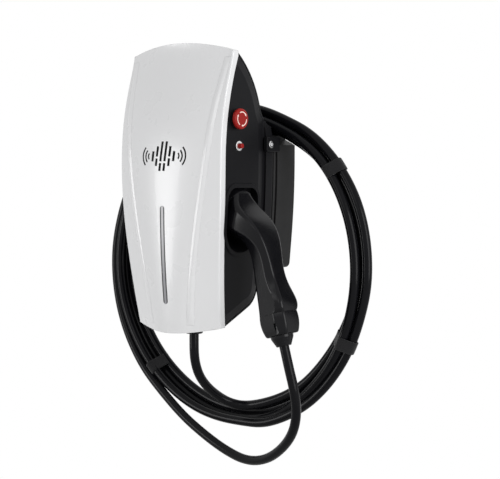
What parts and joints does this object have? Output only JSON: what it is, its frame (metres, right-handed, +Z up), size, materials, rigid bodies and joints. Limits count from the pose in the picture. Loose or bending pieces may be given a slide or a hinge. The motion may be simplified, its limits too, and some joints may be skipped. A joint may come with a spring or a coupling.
{
  "type": "ev wallbox",
  "caption": "Wall-mounted charging station with a crowned front cover, side stop knob and button, a docked connector and its coiled cable on a saddle.",
  "frame": {"origin": "centre of the four wall screw holes, on the wall plane", "axes": "+X to the right as seen from the front, +Y into the wall, +Z up"},
  "size_m": [0.5, 0.1855, 0.6195],
  "materials": {
    "cover": "gloss",
    "light_bar": "translucent, satin",
    "housing": "fine texture",
    "bracket": "fine texture",
    "grip": "fine texture",
    "cable": "smooth, satin",
    "tie": "woven",
    "seal": "matte",
    "stop_red": "satin",
    "bright_metal": "polished",
    "zinc": "zinc plated",
    "brass": "satin",
    "contacts": "silver plated",
    "device": "satin",
    "board": "solder mask"
  },
  "bodies": {
    "wallbox": {"board_columns": "brass", "board_screws": "zinc", "button_collar": "bright_metal", "button_lock_nut": "bright_metal", "button_switch": "housing", "cable_coil": "cable", "cable_drop": "cable", "cable_gland": "grip", "cable_gland_lock_nut": "grip", "cable_gland_nut": "grip", "cable_lead": "cable", "cable_saddle": "bracket", "cable_ties": "tie", "contactor": "device", "control_board": "board", "cover_gasket": "seal", "cover_screws": "zinc", "dock_socket": "housing", "earth_bar": "brass", "energy_meter": "device", "front_cover": "cover", "front_housing": "housing", "gun_clamp_nut": "grip", "gun_contact_carrier": "grip", "gun_contacts": "contacts", "gun_seal": "seal", "gun_shell": "grip", "gun_tail_cap": "grip", "hanger_plate": "bracket", "latch_blocks": "housing", "latch_screws": "bright_metal", "leakage_sensor": "device", "light_bar": "light_bar", "light_board": "board", "mounting_rails": "zinc", "plate_screws": "zinc", "power_supply": "device", "reader_board": "board", "rear_shell": "housing", "stop_collar": "housing", "stop_contacts": "device", "stop_lock_nut": "housing", "supply_grommet": "seal", "terminal_block": "device", "wall_bracket": "bracket"},
    "stop_plunger": {"stop_stem": "stop_red"},
    "stop_knob": {"stop_head": "stop_red"},
    "push_button": {"button_cap": "stop_red"}
  },
  "joints": [
    {"name": "stop_press", "type": "slide", "parent": "wallbox", "child": "stop_plunger", "axis": [-1, 0, 0], "range_m": [0, 0.004]},
    {"name": "stop_release_turn", "type": "hinge", "parent": "stop_plunger", "child": "stop_knob", "pos_m": [0.105, -0.135, 0.0837], "axis": [1, 0, 0], "range_deg": [0, 35], "stiffness_Nm_per_rad": 0.05},
    {"name": "button_press", "type": "slide", "parent": "wallbox", "child": "push_button", "axis": [-1, 0, 0], "range_m": [0, 0.0025], "stiffness_N_per_m": 800}
  ]
}
